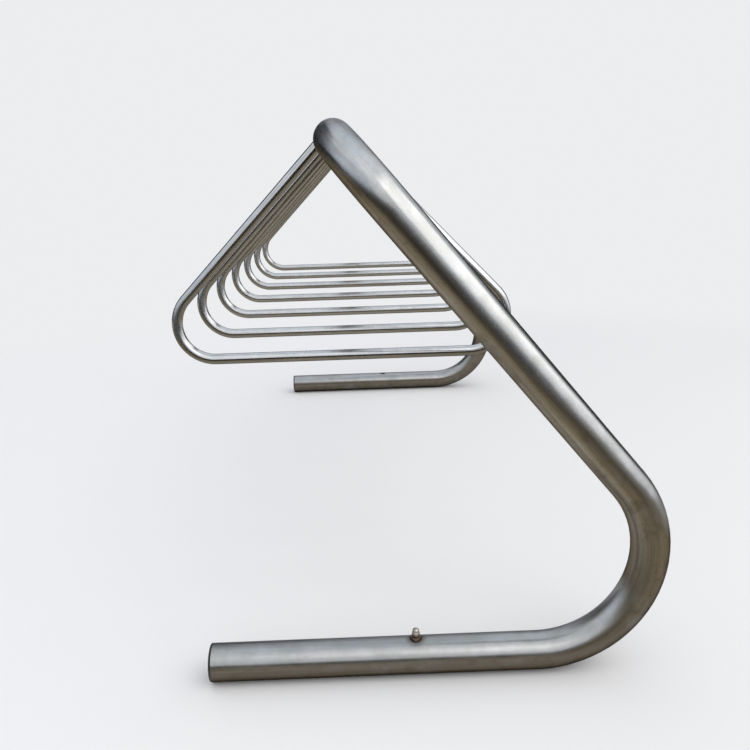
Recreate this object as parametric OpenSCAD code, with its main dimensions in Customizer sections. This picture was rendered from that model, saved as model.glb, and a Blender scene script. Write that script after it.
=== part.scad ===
// Floor standing bike rack: one bent main tube that carries seven triangular wheel hoops.
// Millimetres. X runs along the rack, the free ends of the feet point to -Y, Z is up.
// The ground is at Z 0 and the origin is the middle of the footprint.

/* [Overall] */

// Length over the outsides of the two feet
rack_length = 1800; // [1700:1:2000]

// Height from the ground to the top of the ridge
rack_height = 910; // [820:1:1000]

// Ridge line to the free end of a foot, over the plug
foot_reach = 240; // [160:1:290]

/* [Main tube] */

// Outside diameter of the main tube
tube_d = 63; // [60:0.5:70]

// Wall of the main tube
tube_wall = 2; // [1.5:0.1:3]

// Slope of the legs, degrees above the ground
leg_angle = 50.3; // [46:0.1:56]

// Centreline radius of the two bends above the feet
foot_bend_r = 183; // [150:1:200]

// Centreline radius of the two bends at the ends of the ridge
top_bend_r = 135; // [90:1:150]

/* [Wheel hoops] */

// End of the rack to the middle of the nearest hoop
hoop_inset = 240; // [200:1:300]

// Outside diameter of the hoop tube
hoop_d = 19; // [16:0.1:20]

// Wall of the hoop tube
hoop_wall = 1.5; // [1:0.1:2]

// Slope of the hoop sides, degrees above the ground
hoop_angle = 46; // [44:0.1:50]

// Centreline radius of the two bottom corners of a hoop
hoop_bend_r = 64; // [50:1:70]

// Ground to the centreline of the bottom runs
hoop_bottom_z = 510; // [480:1:560]

// Distance the side centrelines pass outside the ridge centreline
hoop_offset = 16.5; // [12:0.1:18]

// Leg length of the weld bead where a hoop side meets the ridge
weld_w = 3; // [2:0.1:3.5]

// Clearance between a weld bead and the two tubes that it joins
weld_gap = 0.05; // [0.02:0.01:0.2]

/* [Foot plugs] */

// Thickness of the plug flange outside the tube
plug_flange = 4; // [3:0.1:6]

// Radius of the rounded edge of the flange
plug_edge_r = 1.8; // [1:0.1:2.5]

// Length of the plug shank inside the tube
plug_depth = 26; // [20:1:40]

// Radial height of the gripping ribs on the shank
plug_rib_h = 1.2; // [0.6:0.1:2]

// Width of one gripping rib
plug_rib_w = 2; // [1:0.1:3]

// Wall of the hollow shank
plug_wall = 2.4; // [1.5:0.1:4]

/* [Ground anchor] */

// Ridge line to the anchor holes, away from the free ends
anchor_y = 108; // [40:1:150]

// Access hole in the top of each foot
access_d = 20; // [19:0.5:26]

// Anchor hole in the bottom of each foot
anchor_hole_d = 10; // [9:0.1:12]

// Outside diameter of the spacer sleeve that the nut presses down on
spacer_d = 17; // [16:0.1:18]

// How far the spacer sleeve stands out of the top of the foot
spacer_proud = 4.5; // [1:0.1:8]

// Diameter of the anchor stud
stud_d = 8; // [6:0.1:8.8]

// How far the stud runs into the cap nut
stud_grip = 9; // [6:0.5:10]

// Cap nut across the flats
nut_af = 13; // [13:0.5:15]

// Height of the hexagon of the cap nut
nut_hex_h = 6.5; // [6:0.5:8]

// Height of the cap nut over its dome
nut_h = 15; // [14:0.5:17]

// Diameter of the dome of the cap nut
nut_dome_d = 12.5; // [11:0.1:12.8]

/* [Hidden] */

$fn = 96;
hoop_count = 7;
rib_count = 3;
hex_sides = 6;
quarter_turn = 90;
half_turn = 180;

steel = [0.72, 0.73, 0.74];
weld_steel = [0.60, 0.60, 0.60];
black_plastic = [0.05, 0.05, 0.05];

// The ball that joins a straight to a bend is this much larger than the tube
joint_proud = 0.01;

// A bend stops this many degrees short of its joints, inside their balls
joint_slack = 0.05;

// One overrun carries every cutting tool past the face it cuts
overrun = tube_wall / 2;

// Main tube
tube_r = tube_d / 2;
tube_bore_d = tube_d - 2 * tube_wall;
leg_x = rack_length / 2 - tube_r;
ridge_z = rack_height - tube_r;
foot_turn = half_turn - leg_angle;
foot_tangent = foot_bend_r / tan(leg_angle / 2);
leg_rise = ridge_z - tube_r;
foot_corner_y = leg_rise / tan(leg_angle);
foot_bend_y = foot_corner_y - foot_tangent;
foot_end_y = plug_flange - foot_reach;
foot_run = foot_bend_y - foot_end_y;
leg_run = leg_rise / sin(leg_angle) - foot_tangent - top_bend_r;
ridge_run = 2 * (leg_x - top_bend_r);

// Hoops
hoop_r = hoop_d / 2;
hoop_bore_d = hoop_d - 2 * hoop_wall;
hoop_peak_z = ridge_z + hoop_offset / cos(hoop_angle);
hoop_corner_y = (hoop_peak_z - hoop_bottom_z) / tan(hoop_angle);
hoop_tangent = hoop_bend_r / tan(hoop_angle / 2);
hoop_slant = (hoop_peak_z - hoop_bottom_z) / sin(hoop_angle);
hoop_side_run = hoop_slant - hoop_offset * tan(hoop_angle) - hoop_tangent;
hoop_bottom_run = 2 * (hoop_corner_y - hoop_tangent);
hoop_out_y = hoop_corner_y - hoop_tangent + hoop_bend_r + hoop_r;
hoop_first_x = rack_length / 2 - hoop_inset;
hoop_pitch = 2 * hoop_first_x / (hoop_count - 1);
weld_reach = tube_r + weld_w + hoop_r;

// Plugs
plug_shank_r = tube_bore_d / 2 - plug_rib_h;
plug_rib_gap = plug_depth / rib_count - plug_rib_w;

// Anchor
nut_z = tube_d + spacer_proud;
stud_top_z = nut_z + stud_grip;
nut_dome_r = nut_dome_d / 2;
nut_corner_r = nut_af / 2 / cos(half_turn / hex_sides);
nut_chamfer_h = nut_corner_r - nut_af / 2;

// The footprint is centred between the hoops and the outsides of the foot bends
back_y = foot_bend_y + foot_bend_r + tube_r;
front_y = -max(hoop_out_y, foot_reach);
ridge_y = -(back_y + front_y) / 2;

// A straight length of round bar that starts here and heads along Z
module straight(d, run) {
    cylinder(d = d, h = run);
}

// A ball that joins a straight to a bend
module joint(d) {
    sphere(d = d + joint_proud);
}

// A bend of round bar that starts here along Z and turns towards X, with a joint at both ends
module bend(d, r, turn) {
    joint(d);
    translate([r, 0, 0])
        rotate([quarter_turn, 0, half_turn])
            rotate([0, 0, joint_slack])
                rotate_extrude(angle = turn - 2 * joint_slack)
                    translate([r, 0])
                        circle(d = d);
    after_bend(r, turn)
        joint(d);
}

// Moves to the far end of a bend, with Z along the new heading
module after_bend(r, turn) {
    translate([r, 0, 0])
        rotate([0, turn, 0])
            translate([-r, 0, 0])
                children();
}

// Turns a piece that heads along Z so that it heads along Y and bends upwards
module heading_y() {
    rotate([-quarter_turn, 0, 0])
        rotate([0, 0, -quarter_turn])
            children();
}

// One foot, its bend, the leg and the top bend, as solid bar; extra lengthens the free end
module leg_path(d, extra) {
    translate([leg_x, ridge_y + foot_end_y - extra, tube_r])
        heading_y()
            straight(d, foot_run + extra);
    translate([leg_x, ridge_y + foot_bend_y, tube_r])
        heading_y() {
            bend(d, foot_bend_r, foot_turn);
            after_bend(foot_bend_r, foot_turn) {
                straight(d, leg_run);
                translate([0, 0, leg_run])
                    rotate([0, 0, -quarter_turn])
                        bend(d, top_bend_r, quarter_turn);
            }
        }
}

// The straight ridge between the top bends, as solid bar
module ridge_bar(d, run) {
    translate([-run / 2, ridge_y, ridge_z])
        rotate([0, quarter_turn, 0])
            cylinder(d = d, h = run);
}

// The whole main path from free end to free end, as solid bar
module main_path(d, extra) {
    ridge_bar(d, ridge_run);
    leg_path(d, extra);
    mirror([1, 0, 0])
        leg_path(d, extra);
}

// Access hole in the top and anchor hole in the bottom of one foot
module foot_holes(x) {
    translate([x, ridge_y + anchor_y, tube_r])
        cylinder(d = access_d, h = tube_r + overrun);
    translate([x, ridge_y + anchor_y, -overrun])
        cylinder(d = anchor_hole_d, h = tube_r + overrun);
}

// The hollow main tube: foot, leg, ridge, leg and foot in one bent length
module main_tube() {
    color(steel)
        difference() {
            main_path(tube_d, 0);
            main_path(tube_bore_d, overrun);
            foot_holes(leg_x);
            foot_holes(-leg_x);
        }
}

// Places a side of a hoop: it starts beside the ridge centre and heads down and outwards
module hoop_start(x) {
    translate([x, ridge_y - hoop_offset * sin(hoop_angle), ridge_z + hoop_offset * cos(hoop_angle)])
        rotate([half_turn + hoop_angle, 0, 0])
            heading_y()
                children();
}

// One hoop as solid bar: side, corner, bottom run, corner and side
module hoop_path(d, x) {
    hoop_turn = half_turn - hoop_angle;
    hoop_start(x) {
        straight(d, hoop_side_run);
        translate([0, 0, hoop_side_run]) {
            bend(d, hoop_bend_r, hoop_turn);
            after_bend(hoop_bend_r, hoop_turn) {
                straight(d, hoop_bottom_run);
                translate([0, 0, hoop_bottom_run]) {
                    bend(d, hoop_bend_r, hoop_turn);
                    after_bend(hoop_bend_r, hoop_turn)
                        straight(d, hoop_side_run);
                }
            }
        }
    }
}

// A hollow hoop whose two ends are coped to the ridge
module wheel_hoop(place) {
    x = hoop_first_x - hoop_pitch * (place - 1);
    color(steel)
        difference() {
            hoop_path(hoop_d, x);
            hoop_path(hoop_bore_d, x);
            ridge_bar(tube_d, ridge_run);
        }
}

module wheel_hoop_1() {
    wheel_hoop(1);
}

module wheel_hoop_2() {
    wheel_hoop(2);
}

module wheel_hoop_3() {
    wheel_hoop(3);
}

module wheel_hoop_4() {
    wheel_hoop(4);
}

module wheel_hoop_5() {
    wheel_hoop(5);
}

module wheel_hoop_6() {
    wheel_hoop(6);
}

module wheel_hoop_7() {
    wheel_hoop(7);
}

// The fillet of weld around one hoop end, built at X 0
module weld_bead() {
    difference() {
        intersection() {
            hoop_start(0)
                cylinder(d = hoop_d + 2 * weld_w, h = 2 * weld_reach);
            ridge_bar(tube_d + 2 * weld_w, 2 * weld_reach);
        }
        hoop_start(0)
            cylinder(d = hoop_d + 2 * weld_gap, h = 3 * weld_reach);
        ridge_bar(tube_d + 2 * weld_gap, 3 * weld_reach);
    }
}

// Two beads for each hoop
module weld_beads() {
    color(weld_steel)
        for (place = [1 : hoop_count])
            translate([hoop_first_x - hoop_pitch * (place - 1), 0, 0]) {
                weld_bead();
                translate([0, 2 * ridge_y, 0])
                    mirror([0, 1, 0])
                        weld_bead();
            }
}

// Half section of a plug: rounded flange, ribbed shank and hollow inside
module plug_section() {
    difference() {
        union() {
            translate([0, -plug_flange + plug_edge_r])
                square([tube_r, plug_flange - plug_edge_r]);
            translate([0, -plug_flange])
                square([tube_r - plug_edge_r, plug_flange]);
            translate([tube_r - plug_edge_r, plug_edge_r - plug_flange])
                intersection() {
                    circle(r = plug_edge_r);
                    translate([0, -plug_edge_r])
                        square([plug_edge_r, plug_edge_r]);
                }
            square([plug_shank_r, plug_depth]);
            for (rib = [0 : rib_count - 1])
                translate([0, plug_rib_gap + rib * (plug_rib_gap + plug_rib_w)])
                    square([tube_bore_d / 2, plug_rib_w]);
        }
        square([plug_shank_r - plug_wall, plug_depth + overrun]);
    }
}

// A plug in the free end of the foot at this X
module foot_plug(x) {
    color(black_plastic)
        translate([x, ridge_y + foot_end_y, tube_r])
            rotate([-quarter_turn, 0, 0])
                rotate_extrude()
                    plug_section();
}

module foot_plug_1() {
    foot_plug(leg_x);
}

module foot_plug_2() {
    foot_plug(-leg_x);
}

// Spacer that stands on the bottom wall inside the first foot, its lower end shaped to the wall
module spacer_sleeve() {
    color(steel)
        translate([leg_x, ridge_y + anchor_y, 0])
            difference() {
                cylinder(d = spacer_d, h = nut_z);
                translate([0, 0, -overrun])
                    cylinder(d = stud_d, h = nut_z + 2 * overrun);
                difference() {
                    translate([-spacer_d, -spacer_d, -overrun])
                        cube([2 * spacer_d, 2 * spacer_d, tube_r + overrun]);
                    translate([0, -2 * spacer_d, tube_r])
                        heading_y()
                            straight(tube_bore_d, 4 * spacer_d);
                }
            }
}

// Stud that comes up out of the ground through the foot and the spacer
module anchor_stud() {
    color(steel)
        translate([leg_x, ridge_y + anchor_y, 0])
            cylinder(d = stud_d, h = stud_top_z);
}

// Domed cap nut on the stud: chamfered hexagon, short neck and dome
module cap_nut() {
    color(steel)
        translate([leg_x, ridge_y + anchor_y, nut_z])
            difference() {
                union() {
                    intersection() {
                        cylinder(r = nut_corner_r, h = nut_hex_h, $fn = hex_sides);
                        nut_chamfer();
                    }
                    cylinder(d = nut_dome_d, h = nut_h - nut_dome_r);
                    translate([0, 0, nut_h - nut_dome_r])
                        sphere(d = nut_dome_d);
                }
                translate([0, 0, -overrun])
                    cylinder(d = stud_d, h = stud_grip + overrun);
            }
}

// Turned blank that chamfers both ends of the hexagon
module nut_chamfer() {
    rotate_extrude()
        polygon([[0, 0],
                 [nut_af / 2, 0],
                 [nut_corner_r, nut_chamfer_h],
                 [nut_corner_r, nut_hex_h - nut_chamfer_h],
                 [nut_af / 2, nut_hex_h],
                 [0, nut_hex_h]]);
}

main_tube();
wheel_hoop_1();
wheel_hoop_2();
wheel_hoop_3();
wheel_hoop_4();
wheel_hoop_5();
wheel_hoop_6();
wheel_hoop_7();
weld_beads();
foot_plug_1();
foot_plug_2();
spacer_sleeve();
anchor_stud();
cap_nut();
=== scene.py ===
"""Looks of the bike rack: satin ground stainless tube, black foot plugs, a pale studio floor.

Metres, in the frame of the CAD part: X along the ridge, the free ends of the feet to -Y, Z up.
"""

import math

import bmesh
import bpy
from mathutils import Matrix, Vector


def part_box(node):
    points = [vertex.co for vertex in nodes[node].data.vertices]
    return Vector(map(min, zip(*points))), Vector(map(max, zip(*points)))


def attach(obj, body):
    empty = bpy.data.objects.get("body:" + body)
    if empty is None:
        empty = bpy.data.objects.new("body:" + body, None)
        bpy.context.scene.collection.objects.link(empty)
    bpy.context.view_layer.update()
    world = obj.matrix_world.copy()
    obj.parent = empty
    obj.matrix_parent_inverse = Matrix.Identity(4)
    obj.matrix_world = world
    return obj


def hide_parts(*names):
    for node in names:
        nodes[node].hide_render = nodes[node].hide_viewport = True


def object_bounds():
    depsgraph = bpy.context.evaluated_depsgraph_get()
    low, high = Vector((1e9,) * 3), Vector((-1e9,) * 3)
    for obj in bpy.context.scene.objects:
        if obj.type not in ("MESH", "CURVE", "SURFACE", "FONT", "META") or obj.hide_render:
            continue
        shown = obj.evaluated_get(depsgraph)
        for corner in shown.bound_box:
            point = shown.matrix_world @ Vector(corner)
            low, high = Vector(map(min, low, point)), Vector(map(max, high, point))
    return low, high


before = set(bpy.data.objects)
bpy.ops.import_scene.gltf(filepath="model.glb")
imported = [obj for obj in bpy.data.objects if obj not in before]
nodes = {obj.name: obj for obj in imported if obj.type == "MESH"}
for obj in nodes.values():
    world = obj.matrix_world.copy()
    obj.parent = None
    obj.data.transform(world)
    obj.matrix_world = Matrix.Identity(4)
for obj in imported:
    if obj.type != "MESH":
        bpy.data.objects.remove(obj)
cad_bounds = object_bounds()
scene = bpy.context.scene
scene.view_settings.view_transform = "Standard"

# Sizes of the part, from the frame where a box gives them

X_AXIS, Y_AXIS, Z_AXIS = Vector((1, 0, 0)), Vector((0, 1, 0)), Vector((0, 0, 1))
_, tube_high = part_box("main_tube")
plug_low, plug_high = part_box("foot_plug_1")
hoop_low, hoop_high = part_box("wheel_hoop_4")
nut_low, nut_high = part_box("cap_nut")

TUBE_R = (plug_high.x - plug_low.x) / 2
HOOP_R = (hoop_high.x - hoop_low.x) / 2
RIDGE_Y = (hoop_low.y + hoop_high.y) / 2
RIDGE_Z = tube_high.z - TUBE_R
LEG_X = tube_high.x - TUBE_R
LEG_ANGLE = math.radians(50.3)
FOOT_BEND_R = 0.183
FOOT_BEND_Y = tube_high.y - TUBE_R - FOOT_BEND_R  # where the foot ends and its bend starts
TOP_BEND_R = 0.135
HOOP_ANGLE = math.radians(46)
HOOP_BEND_R = 0.064
HOOP_STEPS = 3  # from wheel_hoop_1 to wheel_hoop_4
HOOP_PITCH = (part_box("wheel_hoop_1")[0].x - hoop_low.x) / HOOP_STEPS
NUT_PLACE = (nut_low + nut_high) / 2

# Camera, found by fitting the part's outlines to the photograph

CAMERA_PLACE = (1.98415, -0.07634, 0.82918)
CAMERA_YAW = 0.01417
CAMERA_PITCH = 0.26489
CAMERA_ROLL = 0.03121
FOCAL_SHARE = 1.00698  # focal length as a share of the picture's width
SENSOR_WIDTH = 36.0


def add_camera():
    ahead = Vector((-math.cos(CAMERA_YAW), math.sin(CAMERA_YAW), 0))
    side = Vector((math.sin(CAMERA_YAW), math.cos(CAMERA_YAW), 0))
    forward = ahead * math.cos(CAMERA_PITCH) - Z_AXIS * math.sin(CAMERA_PITCH)
    up = Z_AXIS * math.cos(CAMERA_PITCH) + ahead * math.sin(CAMERA_PITCH)
    right = side * math.cos(CAMERA_ROLL) - up * math.sin(CAMERA_ROLL)
    up = up * math.cos(CAMERA_ROLL) + side * math.sin(CAMERA_ROLL)
    data = bpy.data.cameras.new("camera")
    data.sensor_width = SENSOR_WIDTH
    data.lens = FOCAL_SHARE * SENSOR_WIDTH
    camera = bpy.data.objects.new("camera", data)
    turn = Matrix((right, up, -forward)).transposed()
    camera.matrix_world = Matrix.Translation(CAMERA_PLACE) @ turn.to_4x4()
    scene.collection.objects.link(camera)
    scene.camera = camera


class Wires:
    """Short names for the maths of one node tree. A call that makes a node returns its output."""

    def __init__(self, tree):
        self.tree = tree

    def node(self, kind, **settings):
        made = self.tree.nodes.new(kind)
        for name, value in settings.items():
            setattr(made, name, value)
        return made

    def put(self, socket, value):
        if isinstance(value, bpy.types.NodeSocket):
            self.tree.links.new(value, socket)
        else:
            socket.default_value = value

    def place(self):
        """The point of the surface that is being shaded."""
        return self.node("ShaderNodeNewGeometry").outputs["Position"]

    def num(self, operation, *values):
        made = self.node("ShaderNodeMath", operation=operation)
        for socket, value in zip(made.inputs, values):
            self.put(socket, value)
        return made.outputs[0]

    def add(self, first, second):
        return self.num("ADD", first, second)

    def less(self, first, second):
        return self.num("SUBTRACT", first, second)

    def times(self, first, second):
        return self.num("MULTIPLY", first, second)

    def vec(self, operation, *values):
        made = self.node("ShaderNodeVectorMath", operation=operation)
        for socket, value in zip(made.inputs, values):
            self.put(socket, value)
        scalar = operation in ("DOT_PRODUCT", "LENGTH")
        return made.outputs["Value" if scalar else "Vector"]

    def scale(self, vector, factor):
        made = self.node("ShaderNodeVectorMath", operation="SCALE")
        self.put(made.inputs[0], vector)
        self.put(made.inputs["Scale"], factor)
        return made.outputs[0]

    def split(self, vector):
        made = self.node("ShaderNodeSeparateXYZ")
        self.put(made.inputs[0], vector)
        return made.outputs

    def join(self, x, y, z):
        made = self.node("ShaderNodeCombineXYZ")
        for socket, value in zip(made.inputs, (x, y, z)):
            self.put(socket, value)
        return made.outputs[0]

    def spread(self, value, low, high, to_low=0.0, to_high=1.0, smooth=True):
        """Maps low..high to to_low..to_high, and holds the ends."""
        kind = "SMOOTHSTEP" if smooth else "LINEAR"
        made = self.node("ShaderNodeMapRange", interpolation_type=kind)
        for socket, item in zip(made.inputs, (value, low, high, to_low, to_high)):
            self.put(socket, item)
        return made.outputs[0]

    def mix(self, factor, first, second):
        made = self.node("ShaderNodeMix", data_type="RGBA")
        colours = made.inputs[6], made.inputs[7]
        for socket, value in zip((made.inputs[0], *colours), (factor, first, second)):
            self.put(socket, value)
        return made.outputs[2]

    def choose(self, test, if_no, if_yes):
        """One of two vectors, by a test that gives 0 or 1."""
        made = self.node("ShaderNodeMix", data_type="VECTOR")
        vectors = made.inputs[4], made.inputs[5]
        for socket, value in zip((made.inputs[0], *vectors), (test, if_no, if_yes)):
            self.put(socket, value)
        return made.outputs[1]

    def noise(self, place, scale, detail, rough):
        made = self.node("ShaderNodeTexNoise")
        self.put(made.inputs["Vector"], place)
        self.put(made.inputs["Scale"], scale)
        self.put(made.inputs["Detail"], detail)
        self.put(made.inputs["Roughness"], rough)
        return made.outputs["Fac"]


# Paths of the bent tubes, worked out in the shader

TRUE_MATCH = 0.95  # the mesh faces the way the round tube does if their normals agree this well
PAST_LEG = 1e-4  # angle in the top bend, in radians, up to which a point counts as on the leg
HOOP_SHIFT = 17.0  # moves the pattern along each hoop by its place in X, so that no two are alike


def follow_bend(w, place, centre, radius, ahead, toward, turn):
    """Follows a straight, a bend and a straight to the point of the path nearest to place.

    The path comes in along ahead and turns towards toward by turn, round centre. Returns the
    heading there, the distance along the path, the angle in the bend, and the way out to place.
    """
    half = turn / 2
    out = -toward * math.cos(half) + ahead * math.sin(half)
    along = tuple(ahead * math.cos(half) + toward * math.sin(half))
    out = tuple(out)
    reach = w.vec("SUBTRACT", place, tuple(centre))
    beside = w.vec("DOT_PRODUCT", reach, along), w.vec("DOT_PRODUCT", reach, out)
    angle = w.num("ARCTAN2", *beside)
    angle = w.num("MINIMUM", w.num("MAXIMUM", angle, -half), half)
    cosine, sine = w.num("COSINE", angle), w.num("SINE", angle)
    heading = w.vec("SUBTRACT", w.scale(along, cosine), w.scale(out, sine))
    past = w.vec("DOT_PRODUCT", reach, heading)
    distance = w.add(w.times(angle, radius), past)
    spoke = w.vec("ADD", w.scale(out, cosine), w.scale(along, sine))
    across = w.vec("SUBTRACT", reach, w.scale(heading, past))
    return heading, distance, angle, w.vec("SUBTRACT", across, w.scale(spoke, radius))


def true_normal(w, outward):
    """The normal of the round tube without facets, and the mesh's own at ends and holes."""
    meshed = w.node("ShaderNodeNewGeometry").outputs["Normal"]
    outward = w.vec("NORMALIZE", outward)
    match = w.vec("DOT_PRODUCT", outward, meshed)
    agrees = w.num("GREATER_THAN", w.num("ABSOLUTE", match), TRUE_MATCH)
    return w.choose(agrees, meshed, w.scale(outward, w.num("SIGN", match)))


def unbent(w, outward, heading, side, distance):
    """A surface point on the tube before bending: the way round in X and Y, the length in Z."""
    outward = w.vec("NORMALIZE", outward)
    other = w.vec("CROSS_PRODUCT", heading, side)
    way_round = w.vec("DOT_PRODUCT", outward, side), w.vec("DOT_PRODUCT", outward, other)
    return w.join(*way_round, distance)


def main_tube_path(w):
    """Heading, unbent place and outward way on the main tube, whose halves mirror in X."""
    x, y, z = w.split(w.place())
    folded = w.join(w.num("ABSOLUTE", x), y, z)
    foot_turn = math.pi - LEG_ANGLE
    foot_centre = Vector((LEG_X, FOOT_BEND_Y, TUBE_R + FOOT_BEND_R))
    foot = follow_bend(w, folded, foot_centre, FOOT_BEND_R, Y_AXIS, Z_AXIS, foot_turn)
    leg = -Y_AXIS * math.cos(LEG_ANGLE) + Z_AXIS * math.sin(LEG_ANGLE)
    top_turn = math.pi / 2
    top_centre = Vector((LEG_X, RIDGE_Y, RIDGE_Z)) - (leg + X_AXIS) * TOP_BEND_R
    top = follow_bend(w, folded, top_centre, TOP_BEND_R, leg, -X_AXIS, top_turn)
    leg_length = (top_centre + X_AXIS * TOP_BEND_R - foot_centre).dot(leg)
    to_top = (foot_turn * FOOT_BEND_R + top_turn * TOP_BEND_R) / 2 + leg_length
    on_leg = w.num("LESS_THAN", top[2], PAST_LEG - top_turn / 2)
    distance = w.spread(on_leg, 0.0, 1.0, w.add(top[1], to_top), foot[1], False)
    heading = w.choose(on_leg, top[0], foot[0])
    outward = w.choose(on_leg, top[3], foot[3])
    top_side = w.vec("CROSS_PRODUCT", tuple(leg.cross(X_AXIS)), heading)
    side = w.choose(on_leg, top_side, tuple(X_AXIS))
    mirror = w.join(w.num("SIGN", x), 1.0, 1.0)
    flat = unbent(w, outward, heading, side, distance)
    return w.vec("MULTIPLY", heading, mirror), flat, w.vec("MULTIPLY", outward, mirror)


def hoop_path(w):
    """Heading, unbent place and outward way on a hoop, whose halves mirror about the ridge."""
    x, y, z = w.split(w.place())
    offset = w.less(y, RIDGE_Y)
    nearest = w.times(w.num("ROUND", w.num("DIVIDE", x, HOOP_PITCH)), HOOP_PITCH)
    folded = w.join(w.less(x, nearest), w.num("ABSOLUTE", offset), z)
    bend_y = hoop_high.y - RIDGE_Y - HOOP_R - HOOP_BEND_R
    centre = Vector((0, bend_y, hoop_low.z + HOOP_R + HOOP_BEND_R))
    turn = math.pi - HOOP_ANGLE
    bend = follow_bend(w, folded, centre, HOOP_BEND_R, Y_AXIS, Z_AXIS, turn)
    heading, distance, _, outward = bend
    distance = w.num("MULTIPLY_ADD", nearest, HOOP_SHIFT, distance)
    mirror = w.join(1.0, w.num("SIGN", offset), 1.0)
    flat = unbent(w, outward, heading, tuple(X_AXIS), distance)
    return w.vec("MULTIPLY", heading, mirror), flat, w.vec("MULTIPLY", outward, mirror)


# Colours. The tones of a tube are clean steel, lighter steel, the film under the tube, and
# the film near the ground. The brown film is partly dirt and partly painted reflection of
# brown ground and painted shade on the lower side.

MAIN_TONES = (
    (0.545, 0.56, 0.575, 1),
    (0.665, 0.68, 0.695, 1),
    (0.318, 0.28, 0.216, 1),
    (0.185, 0.163, 0.128, 1),
)
# The hoops' steel is a lighter copy of the main tube's, which paints brighter highlights on the
# hoops.
HOOP_TONES = (
    (0.66, 0.68, 0.70, 1),
    (0.78, 0.795, 0.815, 1),
    (0.295, 0.268, 0.215, 1),
    (0.19, 0.163, 0.132, 1),
)
# Deep brown: dark streaks and pits in the film, and painted shade on what faces straight down
DEEP_STAIN_AND_SHADE = (0.10, 0.082, 0.06, 1)
DUST = (0.36, 0.365, 0.37, 1)
PATINA = (0.46, 0.475, 0.44, 1)
HOLE_BROWN = (0.10, 0.062, 0.036, 1)
# Painted shade within the hollow feet
INSIDE_PAINTED_SHADE = (0.03, 0.027, 0.024, 1)
WELD = (0.44, 0.41, 0.37, 1)
HEAT_TINT = (0.27, 0.19, 0.11, 1)
ANCHOR = (0.30, 0.235, 0.18, 1)
NUT = (0.60, 0.57, 0.52, 1)
NUT_BASE_BROWN = (0.20, 0.14, 0.095, 1)
PLASTIC = (0.012, 0.012, 0.013, 1)
SCUFFED_PLASTIC = (0.05, 0.048, 0.045, 1)

# Roughness of each metal before wear, and how much of a tube is dusty or patchy

MAIN_ROUGH, MAIN_DUSTY = 0.255, 0.35
HOOP_ROUGH, HOOP_DUSTY = 0.19, 0.12
WELD_ROUGH, ANCHOR_ROUGH, NUT_ROUGH = 0.3, 0.45, 0.2

# Patterns on a tube: repeats per metre round it and along it, detail, roughness of the noise

GRAIN = (60, 60, 2600), 3.0, 0.6  # rings of grinding
STREAKS = (160, 160, 5), 4.0, 0.6
DRIFT = (14, 14, 3), 3.0, 0.6
SMUDGES = (40, 40, 14), 4.0, 0.65
PITS = (420, 420, 300), 3.0, 0.6

# Patterns in space: repeats per metre, detail, roughness of the noise

CLOUDS = 9.0, 4.0, 0.6
BLOTCHES = 36.0, 3.0, 0.6
PATCHES = 21.0, 4.0, 0.62
SPECKLES = 170.0, 4.0, 0.7
METAL_CLOUDS = 240.0, 4.0, 0.6
HEAT_PATCHES = 90.0, 3.0, 0.6
NUT_CLOUDS = 300.0, 3.0, 0.6
PLASTIC_GRAIN = 1400.0, 3.0, 0.6
SCUFFS = 60.0, 5.0, 0.7

# Spans of a noise, from no effect to full effect, and then the effect at both where given

NOISE_SPAN = 0.3, 0.7
NOISE_MIDDLE = 0.5
LIGHT_SPAN = 0.4, 0.59
PATINA_SPAN = 0.46, 0.62
SMUDGE_SPAN = 0.45, 0.75
PIT_SPAN = 0.5, 0.72, 0.0, 0.3
STREAK_SPAN = 0.35, 0.7
BLOTCH_SPAN = 0.5, 0.68
DUST_SPAN = 0.52, 0.68
HEAT_SPAN = 0.4, 0.68, 0.0, 0.7
SCUFF_SPAN = 0.45, 0.8

# Spans of the height in metres, from no effect to full effect

NEAR_GROUND_HEIGHT = 0.15, 0.03
FILM_AND_REFLECTION_CLIMB_HEIGHT = 0.56, 0.38
FILM_AND_REFLECTION_HEIGHT = 0.45, 0.03
DULL_HEIGHT = 0.5, 0.15

# Where the film and painted reflection lie, by the parts of the normal that point up and to +Y

FILM_AND_REFLECTION_SLOPE = 0.07, -0.2
# painted shade under the tubes, by how far the normal points down
UNDERSIDE_SHADE_SLOPE = -0.6, -0.95
FILM_AND_REFLECTION_CLIMB_FACING = -0.05, -0.6, 0.0, 0.2  # the film and painted reflection climb higher on what faces -Y
FILM_AND_REFLECTION_CLIMB = 0.27
NEAR_GROUND_CLIMB = 0.12
FILM_AND_REFLECTION_WANDER = 0.15

# Shares of one effect in another, and the ground surface

PATINA_SHARE = 1.1
NEAR_GROUND_GREY = 0.35
STREAK_SHARE = 0.4
FILM_AND_REFLECTION_DUST_SHARE = 0.5
GRAIN_WEAR = 0.3
CLOUD_WEAR = 0.35
ROUGH_SWING = 0.045
DULLED = 0.09  # roughness added by the film and painted reflection, and near the ground
ANISOTROPY = 0.7
# A dark edge tint: reflections at grazing angles are darkened, which paints dark outlines along the
# tubes.
EDGE_TINT = (0.25, 0.25, 0.25, 1)
GRAIN_BUMP = 0.05, 0.0002  # strength, and depth in metres


def new_material(name):
    material = bpy.data.materials.new(name)
    material.use_nodes = True
    material.node_tree.nodes.clear()
    w = Wires(material.node_tree)
    out = w.node("ShaderNodeOutputMaterial")
    shader = w.node("ShaderNodeBsdfPrincipled")
    w.put(out.inputs["Surface"], shader.outputs[0])
    return material, w, shader


def add_bump(w, shader, height, strength, depth, normal=None):
    bump = w.node("ShaderNodeBump")
    bump.inputs["Strength"].default_value = strength
    bump.inputs["Distance"].default_value = depth
    w.put(bump.inputs["Height"], height)
    if normal:
        w.put(bump.inputs["Normal"], normal)
    w.put(shader.inputs["Normal"], bump.outputs[0])


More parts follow.
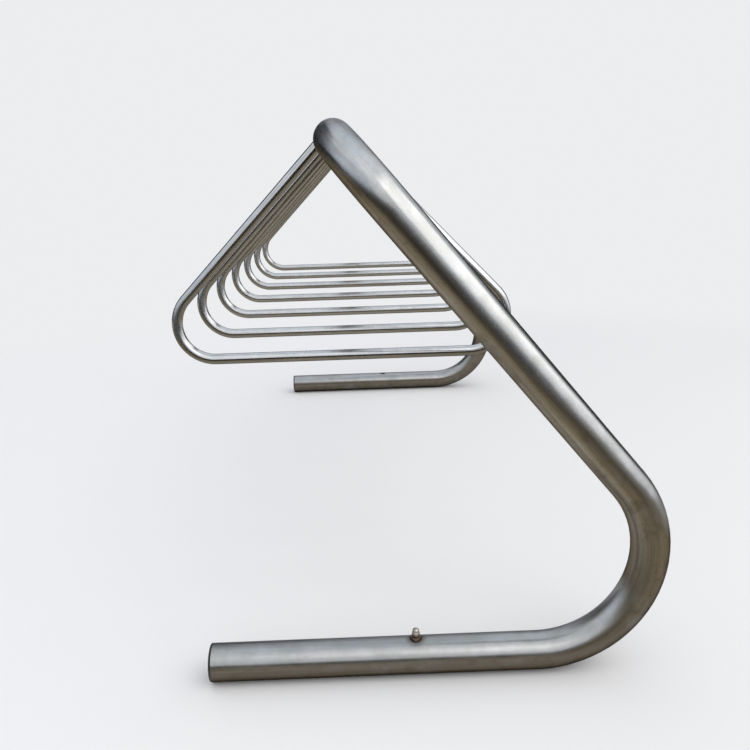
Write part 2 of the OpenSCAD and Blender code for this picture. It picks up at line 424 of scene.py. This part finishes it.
def satin_steel(name, path, tube_r, tones, rough, dusty, extra=None):
    """Ground stainless tube: rings of grinding, and a brown lower side, partly dirt and partly
    painted reflection of brown ground and painted shade.
    """
    material, w, shader = new_material(name)
    place = w.place()
    heading, flat, outward = path(w)
    normal = true_normal(w, outward)
    rings = w.vec("MULTIPLY", flat, (tube_r, tube_r, 1))

    def on_tube(repeats, detail, noise_rough):
        return w.noise(w.vec("MULTIPLY", rings, repeats), 1.0, detail, noise_rough)

    grain, streaks, drift, smudge, pit = (
        on_tube(*pattern) for pattern in (GRAIN, STREAKS, DRIFT, SMUDGES, PITS)
    )
    cloud, blotch, patch = (w.noise(place, *pattern) for pattern in (CLOUDS, BLOTCHES, PATCHES))
    steel, steel_light, film_and_reflection, film_and_reflection_low = tones
    _, facing, lean = w.split(normal)
    _, _, height = w.split(place)
    low = w.spread(height, *NEAR_GROUND_HEIGHT)

    # Clean steel with patches and dust, and greyer towards the ground
    shade = w.times(w.add(w.add(drift, streaks), blotch), 1 / 3)
    tone = w.mix(w.spread(shade, *LIGHT_SPAN), steel, steel_light)
    tone = w.mix(w.times(w.spread(patch, *PATINA_SPAN), dusty * PATINA_SHARE), tone, PATINA)
    dust_and_low_greying = w.add(w.times(w.spread(smudge, *SMUDGE_SPAN), dusty), w.times(low, NEAR_GROUND_GREY))
    tone = w.mix(dust_and_low_greying, tone, DUST)

    # The film and painted reflection, which get darker near the ground
    film_and_reflection_tone = w.mix(w.spread(height, *FILM_AND_REFLECTION_HEIGHT), film_and_reflection, film_and_reflection_low)
    film_and_reflection_tone = w.mix(w.times(w.spread(streaks, *STREAK_SPAN), STREAK_SHARE), film_and_reflection_tone, DEEP_STAIN_AND_SHADE)
    film_and_reflection_tone = w.mix(w.times(w.spread(blotch, *BLOTCH_SPAN), dusty), film_and_reflection_tone, DEEP_STAIN_AND_SHADE)
    film_and_reflection_tone = w.mix(w.times(w.spread(patch, *DUST_SPAN), dusty * FILM_AND_REFLECTION_DUST_SHARE), film_and_reflection_tone, DUST)

    # Where it lies: on what faces down, and higher up the round near the ground and on what faces
    # -Y
    climb_facing_minus_y = w.add(w.spread(facing, *FILM_AND_REFLECTION_CLIMB_FACING), FILM_AND_REFLECTION_CLIMB)
    climb = w.add(w.times(low, NEAR_GROUND_CLIMB), w.times(w.spread(height, *FILM_AND_REFLECTION_CLIMB_HEIGHT), climb_facing_minus_y))
    lean = w.add(lean, w.times(w.less(cloud, NOISE_MIDDLE), FILM_AND_REFLECTION_WANDER))
    film_and_reflection_mask = w.spread(w.less(lean, climb), *FILM_AND_REFLECTION_SLOPE)
    tone = w.mix(film_and_reflection_mask, tone, film_and_reflection_tone)
    # Deep brown in pits of the film, and painted shade on what faces straight down
    pitted = w.times(w.spread(pit, *PIT_SPAN), film_and_reflection_mask)
    tone = w.mix(w.num("MAXIMUM", w.spread(lean, *UNDERSIDE_SHADE_SLOPE), pitted), tone, DEEP_STAIN_AND_SHADE)
    if extra:
        tone = extra(w, place, tone)
    w.put(shader.inputs["Base Color"], tone)
    shader.inputs["Metallic"].default_value = 1.0
    shader.inputs["Specular Tint"].default_value = EDGE_TINT

    wear = w.add(w.times(grain, GRAIN_WEAR), w.times(w.add(cloud, streaks), CLOUD_WEAR))
    gloss = w.spread(wear, *NOISE_SPAN, rough - ROUGH_SWING, rough + ROUGH_SWING, False)
    dull = w.times(w.num("MAXIMUM", film_and_reflection_mask, w.spread(height, *DULL_HEIGHT)), DULLED)
    w.put(shader.inputs["Roughness"], w.add(gloss, dull))
    shader.inputs["Anisotropic"].default_value = ANISOTROPY
    w.put(shader.inputs["Tangent"], heading)
    add_bump(w, shader, grain, *GRAIN_BUMP, normal)
    return material


HOLE_BROWN_REACH = 0.021, 0.008  # distance from the hole's middle, from none to full darker brown
HOLE_RAGGED = 0.012
HOLE_HEIGHT = 1.5 * TUBE_R, 0.7 * TUBE_R  # the top half of a foot: its middle, and half its span
HOLE_SIDES = -0.1, 0.1, 0.35, 0.7  # X from the far to the near side, and the darker brown there
SKIN = 0.0006  # depth under the tube's outside at which the painted shade within the tube starts


def foot_details(w, place, tone):
    """Darker brown round the anchor holes, and painted shade within the feet that the holes show.
    """
    x, y, z = w.split(place)
    along = w.less(w.num("ABSOLUTE", x), LEG_X)
    from_axis = w.vec("LENGTH", w.join(along, 0.0, w.less(z, TUBE_R)))
    from_hole = w.vec("LENGTH", w.join(along, w.less(y, NUT_PLACE.y), 0.0))
    speckle = w.less(w.noise(place, *SPECKLES), NOISE_MIDDLE)
    ragged = w.add(from_hole, w.times(speckle, HOLE_RAGGED))
    on_top = w.num("COMPARE", z, *HOLE_HEIGHT)
    near = w.times(w.spread(ragged, *HOLE_BROWN_REACH), on_top)
    tone = w.mix(w.times(near, w.spread(x, *HOLE_SIDES)), tone, HOLE_BROWN)
    under_skin = w.num("LESS_THAN", from_axis, TUBE_R - SKIN)
    painted_shade_within = w.times(under_skin, w.num("LESS_THAN", y, FOOT_BEND_Y))
    return w.mix(painted_shade_within, tone, INSIDE_PAINTED_SHADE)


METAL_DARKER = 0.8
METAL_SMOOTHER, METAL_ROUGHER = -0.05, 0.08
METAL_BUMP = 0.1, 0.0003  # strength, and depth in metres


def plain_steel(name, colour, rough, extra=None):
    """Steel with soft clouds in its colour and gloss."""
    material, w, shader = new_material(name)
    place = w.place()
    cloud = w.noise(place, *METAL_CLOUDS)
    dark = tuple(c * METAL_DARKER for c in colour[:3]) + (1,)
    tone = w.mix(cloud, dark, colour)
    if extra:
        tone = extra(w, place, tone)
    w.put(shader.inputs["Base Color"], tone)
    shader.inputs["Metallic"].default_value = 1.0
    gloss = w.spread(cloud, *NOISE_SPAN, rough + METAL_SMOOTHER, rough + METAL_ROUGHER, False)
    w.put(shader.inputs["Roughness"], gloss)
    add_bump(w, shader, cloud, *METAL_BUMP)
    return material


def heat_tint(w, place, tone):
    """Straw and brown patches left by the heat of welding."""
    return w.mix(w.spread(w.noise(place, *HEAT_PATCHES), *HEAT_SPAN), tone, HEAT_TINT)


NUT_RAGGED = 0.008
NUT_BASE_BROWN_HEIGHT = nut_low.z + 0.0085, nut_low.z + 0.001


def browner_nut_base(w, place, tone):
    """Darker brown that climbs up the cap nut from the tube."""
    _, _, z = w.split(place)
    cloud = w.less(w.noise(place, *NUT_CLOUDS), NOISE_MIDDLE)
    uneven = w.add(z, w.times(cloud, NUT_RAGGED))
    return w.mix(w.spread(uneven, *NUT_BASE_BROWN_HEIGHT), tone, NUT_BASE_BROWN)


PLASTIC_ROUGH = 0.42, 0.6
PLASTIC_BUMP = 0.25, 0.0003  # strength, and depth in metres


def moulded_plastic(name):
    """Black plastic with a fine grain and grey scuffs."""
    material, w, shader = new_material(name)
    place = w.place()
    scuff = w.noise(place, *SCUFFS)
    tone = w.mix(w.spread(scuff, *SCUFF_SPAN), PLASTIC, SCUFFED_PLASTIC)
    w.put(shader.inputs["Base Color"], tone)
    gloss = w.spread(scuff, *NOISE_SPAN, *PLASTIC_ROUGH, False)
    w.put(shader.inputs["Roughness"], gloss)
    add_bump(w, shader, w.noise(place, *PLASTIC_GRAIN), *PLASTIC_BUMP)
    return material


def dress(names, material):
    for name in names:
        for slot in nodes[name].material_slots:
            slot.material = material
        for face in nodes[name].data.polygons:
            face.use_smooth = True


# Weld beads

HOOPS = 7
HOOP_OFFSET = 0.0165  # from the middle of the ridge to the middle line of a hoop side
BEAD_LEG = 0.003
BEAD_SINK = 0.0002  # the bead's toes go under the surface of both tubes
BEAD_STEPS = 204
BEAD_PROFILE = 7
BEAD_RIPPLES = 34
RIPPLE_HEIGHT = 0.00017
RIPPLE_CURVE = 5  # bends each ripple into a crescent across the bead
WANDER, WANDER_WAVES = 0.6, 3  # uneven spacing of the ripples round the bead
SWELL, SWELL_WAVES = 0.5, 5  # slower swelling of the bead, as a share of the ripples


def bead_point(hoop_turn, radius, ridge_radius):
    """Distance down the hoop side at which its round of this radius meets the ridge's round."""
    beside = HOOP_OFFSET + radius * math.sin(hoop_turn)
    return math.sqrt(ridge_radius ** 2 - beside ** 2)


def bead_section(turn, number):
    """The bead cut across at turn, as points of distance from the hoop's middle and along it."""
    wide = HOOP_R + BEAD_LEG
    root = Vector((HOOP_R - BEAD_SINK, bead_point(turn, HOOP_R, TUBE_R) - BEAD_SINK))
    toe = Vector((HOOP_R - BEAD_SINK, root.y + BEAD_LEG))
    crown = Vector((wide, bead_point(turn, wide, TUBE_R + BEAD_LEG)))
    heel = Vector((wide, bead_point(turn, wide, TUBE_R - BEAD_SINK)))
    uneven = WANDER * math.sin(WANDER_WAVES * turn + number)
    slow = SWELL * math.sin(SWELL_WAVES * turn + 2 * number)
    section = [root]
    for m in range(BEAD_PROFILE):
        part = m / (BEAD_PROFILE - 1)
        face = toe * (1 - part) ** 2 + crown * 2 * part * (1 - part) + heel * part ** 2
        phase = BEAD_RIPPLES * turn + uneven + RIPPLE_CURVE * (part - 0.5) ** 2
        rise = RIPPLE_HEIGHT * (math.sin(phase) + slow)
        section.append(face + (face - root).normalized() * rise * 4 * part * (1 - part))
    return section


def add_bead(mesh, hoop_x, side, number):
    """One fillet weld round a hoop end, with the ripples of a hand-laid bead."""
    down = Vector((0, side * math.cos(HOOP_ANGLE), -math.sin(HOOP_ANGLE)))
    outward = Vector((0, side * math.sin(HOOP_ANGLE), math.cos(HOOP_ANGLE)))
    start = Vector((hoop_x, RIDGE_Y, RIDGE_Z)) + outward * HOOP_OFFSET
    rings = []
    for k in range(BEAD_STEPS):
        turn = 2 * math.pi * k / BEAD_STEPS
        spoke = X_AXIS * math.cos(turn) + outward * math.sin(turn)
        places = [start + spoke * wide + down * along for wide, along in bead_section(turn, number)]
        rings.append([mesh.verts.new(place) for place in places])
    for k in range(BEAD_STEPS):
        ring, following = rings[k], rings[(k + 1) % BEAD_STEPS]
        for m in range(len(ring)):
            after = (m + 1) % len(ring)
            mesh.faces.new((ring[m], ring[after], following[after], following[m]))


def add_beads():
    """Rippled beads in place of the plain fillets of the CAD part."""
    mesh = bmesh.new()
    for n in range(1, HOOPS + 1):
        low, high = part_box(f"wheel_hoop_{n}")
        for side in (-1, 1):
            add_bead(mesh, (low.x + high.x) / 2, side, 2 * n + side)
    bmesh.ops.recalc_face_normals(mesh, faces=mesh.faces)
    data = bpy.data.meshes.new("rippled_welds")
    mesh.to_mesh(data)
    mesh.free()
    for face in data.polygons:
        face.use_smooth = True
    beads = bpy.data.objects.new("rippled_welds", data)
    scene.collection.objects.link(beads)
    data.materials.append(plain_steel("weld", WELD, WELD_ROUGH, heat_tint))
    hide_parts("weld_beads")
    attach(beads, "root")


# Studio: floor and backdrop

PALE = (0.84, 0.847, 0.863, 1)
FLOOR_Z = cad_bounds[0][2] - 0.0002
FLOOR_HOLE = 0.001
FLOOR_FADE = 1.7, 2.9  # distances from the middle at which the rim starts and ends to fade
FLOOR_LEFT = (0.826, 0.832, 0.85, 1)
FLOOR_RIGHT = (0.768, 0.773, 0.786, 1)
FLOOR_TURN = -0.9, 1.0  # Y from one of these colours to the other
SPOKES = 96

# The ground that only the tubes reflect

EARTH_Z = FLOOR_Z + 0.001
EARTH_FROM = 1.09
EARTH_TO = 9.0
EARTH_DARK_FROM = 3.0, 8.0  # distances from the middle
EARTH_DARK_X = 1.3, 1.75
EARTH_NEAR = (0.56, 0.51, 0.42, 1)
EARTH_FAR = (0.035, 0.033, 0.031, 1)

# Upright screens round the rack, which give the bands of the street that the tubes reflect:
# name, tone, distance, first and last angle from +X in degrees, lower and upper edge, steps

CARD_TONES = {
    "flag": (0.03, 0.03, 0.032, 1),
    "grey_flag": (0.24, 0.245, 0.26, 1),
    "mist_flag": (0.47, 0.50, 0.54, 1),
    "haze_flag": (0.68, 0.72, 0.76, 1),
    "ceiling": (0.88, 0.94, 0.99, 1),
}
FLAGS = (
    ("flag_low", "flag", 1.95, -75, 100, 0, 0.27, 96),
    ("flag_far", "flag", 8.8, -14, 62, 0, 0.95, 24),
    ("flag_side_low", "flag", 8.4, -100, -14, 0, 0.7, 24),
    ("flag_back", "flag", 6.0, 107, 157, 0, 3.0, 24),
    ("flag_behind", "mist_flag", 6.0, 157, 189, 0, 1.8, 24),
    ("haze_behind", "haze_flag", 6.0, 157, 189, 1.8, 4.6, 24),
    ("flag_left_far", "flag", 6.0, 189, 200, 0, 2.8, 24),
    ("haze_left_far", "mist_flag", 6.0, 189, 200, 2.8, 4.6, 24),
    ("flag_left", "flag", 6.0, 200, 243, 0, 8.0, 24),
    ("flag_left_low", "flag", 6.0, 243, 272, 0, 1.6, 24),
    ("flag_left_high", "grey_flag", 6.0, 243, 254, 1.6, 8.0, 24),
    ("flag_left_haze", "mist_flag", 6.0, 254, 266, 1.6, 6.0, 24),
    ("haze_side_low", "mist_flag", 8.5, 262, 336, 0.7, 2.3, 24),
    ("haze_side", "haze_flag", 8.5, 262, 336, 2.3, 7.0, 24),
)
CEILING_PLACE = (-0.6, 0, 4.5)
CEILING_AIM = (-0.6, 0, 0)
CEILING_SIZE = 5.0, 4.0

# Lamps: name, place, aim, width, height, watts, colour

LAMPS = (
    ("side", (2.15, 2.31, 2.50), (0.88, 0, 0.75), 4.8, 2.4, 35, (1.0, 0.955, 0.865)),
    ("front", (4.2, 0.6, 4.0), (0.6, 0, 0.4), 4.5, 2.6, 6, (1.0, 0.98, 0.94)),
)
SUN_PLACE = (0.25, 0.35, 1.0)
SUN_WIDTH = math.radians(50)
SUN_STRENGTH = 0.45


def ring_mesh(name, inner, outer, z):
    data = bpy.data.meshes.new(name)
    verts, faces = [], []
    for k in range(SPOKES):
        turn = 2 * math.pi * k / SPOKES
        verts += [(r * math.cos(turn), r * math.sin(turn), z) for r in (inner, outer)]
        m = (k + 1) % SPOKES
        faces.append((2 * k, 2 * k + 1, 2 * m + 1, 2 * m))
    data.from_pydata(verts, [], faces)
    return data


def matte_material(name):
    material, w, shader = new_material(name)
    shader.inputs["Roughness"].default_value = 1.0
    shader.inputs["Specular IOR Level"].default_value = 0.0
    return material, w, shader


def from_middle(w):
    """Distance of a surface point from the upright line through the origin."""
    return w.vec("LENGTH", w.vec("MULTIPLY", w.place(), (1, 1, 0)))


def aim_at(thing, place, aim):
    """Puts a card or lamp at place, turned towards aim."""
    heading = (Vector(aim) - Vector(place)).to_track_quat("-Z", "Y")
    thing.matrix_world = Matrix.Translation(place) @ heading.to_matrix().to_4x4()


def add_floor():
    """A pale floor whose rim fades into the backdrop, a little darker on the lamp's side."""
    floor = bpy.data.objects.new("floor", ring_mesh("floor", FLOOR_HOLE, FLOOR_FADE[1], FLOOR_Z))
    scene.collection.objects.link(floor)
    material, w, shader = matte_material("floor")
    _, y, _ = w.split(w.place())
    tone = w.mix(w.spread(y, *FLOOR_TURN), FLOOR_LEFT, FLOOR_RIGHT)
    w.put(shader.inputs["Base Color"], tone)
    w.put(shader.inputs["Alpha"], w.spread(from_middle(w), *FLOOR_FADE, 1.0, 0.0))
    floor.data.materials.append(material)


def only_in_reflections(card):
    """Keeps a card out of the picture: the tubes reflect it, and it takes no light away."""
    card.visible_camera = False
    card.visible_diffuse = False
    card.visible_shadow = False
    scene.collection.objects.link(card)


def add_earth():
    """Ground card round the floor: brown, dark towards the horizon and before the near foot."""
    mesh = ring_mesh("earth_card", EARTH_FROM, EARTH_TO, EARTH_Z)
    card = bpy.data.objects.new("earth_card", mesh)
    material, w, shader = matte_material("earth_card")
    x, _, _ = w.split(w.place())
    far = w.spread(from_middle(w), *EARTH_DARK_FROM)
    dark = w.num("MAXIMUM", far, w.spread(x, *EARTH_DARK_X))
    w.put(shader.inputs["Base Color"], w.mix(dark, EARTH_NEAR, EARTH_FAR))
    mesh.materials.append(material)
    only_in_reflections(card)


def card_material(name, colour):
    material, _, shader = matte_material(name)
    shader.inputs["Base Color"].default_value = colour
    return material


def add_flag(name, material, distance, start, end, low, high, steps):
    """An upright screen on part of a circle round the rack."""
    data = bpy.data.meshes.new(name)
    verts, faces = [], []
    for k in range(steps + 1):
        turn = math.radians(start + (end - start) * k / steps)
        verts += [(distance * math.cos(turn), distance * math.sin(turn), z) for z in (low, high)]
        if k:
            faces.append((2 * k - 2, 2 * k, 2 * k + 1, 2 * k - 1))
    data.from_pydata(verts, [], faces)
    data.materials.append(material)
    only_in_reflections(bpy.data.objects.new(name, data))


def add_panel(name, material, place, aim, width, height):
    """A flat card at place that faces aim."""
    data = bpy.data.meshes.new(name)
    x, y = width / 2, height / 2
    data.from_pydata([(-x, -y, 0), (x, -y, 0), (x, y, 0), (-x, y, 0)], [], [(0, 1, 2, 3)])
    data.materials.append(material)
    card = bpy.data.objects.new(name, data)
    aim_at(card, place, aim)
    only_in_reflections(card)


def add_world():
    world = bpy.data.worlds.new("studio")
    scene.world = world
    world.use_nodes = True
    world.node_tree.nodes.clear()
    w = Wires(world.node_tree)
    out = w.node("ShaderNodeOutputWorld")
    back = w.node("ShaderNodeBackground")
    back.inputs["Color"].default_value = PALE
    back.inputs["Strength"].default_value = 1.0
    w.put(out.inputs["Surface"], back.outputs[0])


def add_lamp(name, place, aim, width, height, power, colour):
    data = bpy.data.lights.new(name, "AREA")
    data.color = colour
    data.shape = "RECTANGLE"
    data.size, data.size_y = width, height
    data.energy = power
    lamp = bpy.data.objects.new(name, data)
    aim_at(lamp, place, aim)
    lamp.visible_camera = False
    scene.collection.objects.link(lamp)


def add_sun():
    """Soft light from above that levels the floor and gives the shadow."""
    data = bpy.data.lights.new("top", "SUN")
    data.angle = SUN_WIDTH
    data.energy = SUN_STRENGTH
    sun = bpy.data.objects.new("top", data)
    sun.matrix_world = Vector(SUN_PLACE).to_track_quat("Z", "Y").to_matrix().to_4x4()
    sun.visible_glossy = False
    scene.collection.objects.link(sun)


def add_studio():
    add_floor()
    add_earth()
    tones = {name: card_material(name, colour) for name, colour in CARD_TONES.items()}
    for name, tone, *sizes in FLAGS:
        add_flag(name, tones[tone], *sizes)
    add_panel("ceiling", tones["ceiling"], CEILING_PLACE, CEILING_AIM, *CEILING_SIZE)
    add_world()
    for lamp in LAMPS:
        add_lamp(*lamp)
    add_sun()


def dress_part():
    main = satin_steel(
        "satin_main", main_tube_path, TUBE_R, MAIN_TONES, MAIN_ROUGH, MAIN_DUSTY, foot_details
    )
    hoop = satin_steel("satin_hoop", hoop_path, HOOP_R, HOOP_TONES, HOOP_ROUGH, HOOP_DUSTY)
    dress(["main_tube"], main)
    dress([f"wheel_hoop_{n}" for n in range(1, HOOPS + 1)], hoop)
    add_beads()
    dress(["foot_plug_1", "foot_plug_2"], moulded_plastic("plug"))
    dress(["spacer_sleeve", "anchor_stud"], plain_steel("anchor", ANCHOR, ANCHOR_ROUGH))
    dress(["cap_nut"], plain_steel("nut", NUT, NUT_ROUGH, browner_nut_base))


add_camera()
add_studio()
dress_part()
